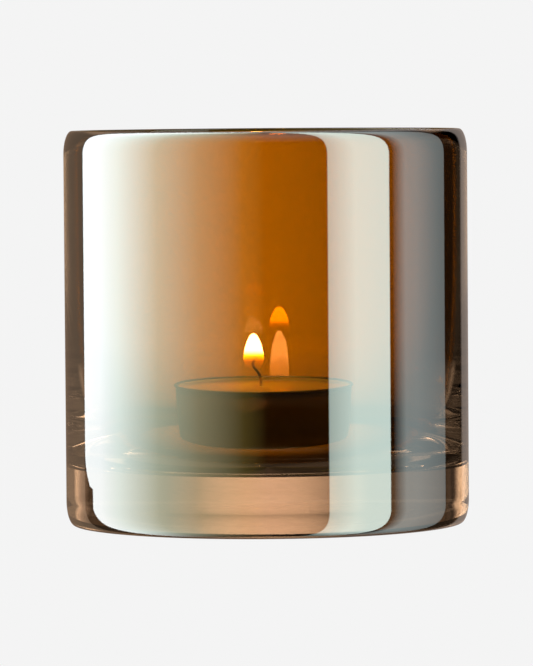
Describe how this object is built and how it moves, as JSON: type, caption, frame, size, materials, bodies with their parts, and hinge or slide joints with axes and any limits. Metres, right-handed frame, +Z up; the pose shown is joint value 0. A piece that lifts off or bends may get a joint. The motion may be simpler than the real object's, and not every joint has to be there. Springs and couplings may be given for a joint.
{
  "type": "tealight holder",
  "caption": "Straight-sided amber glass holder with a thick clear base and a rounded rim, with a tealight standing on its inner floor.",
  "frame": {"origin": "centre of the flat underside of the glass holder, on its axis", "axes": "+Z up along the holder's axis, +X to the right, and -Y is the side it is seen from"},
  "size_m": [0.085, 0.085, 0.083],
  "materials": {
    "amber_glass": "polished, amber inside layer, faint lustre outside",
    "cup_foil": "drawn foil, satin",
    "candle_wax": "paraffin wax, wet and glossy on top",
    "wick_cotton": "braided cotton, charred above the wax",
    "disc_steel": "tinned steel"
  },
  "bodies": {
    "holder": {"glass_holder": "amber_glass"},
    "tealight": {"tealight_cup": "cup_foil"},
    "candle": {"wax": "candle_wax", "wick": "wick_cotton", "wick_holder_disc": "disc_steel"}
  },
  "joints": [
    {"name": "tealight_lift", "type": "slide", "parent": "holder", "child": "tealight", "axis": [0, 0, 1], "range_m": [0, 0.1]},
    {"name": "candle_lift", "type": "slide", "parent": "tealight", "child": "candle", "axis": [0, 0, 1], "range_m": [0, 0.025]}
  ]
}
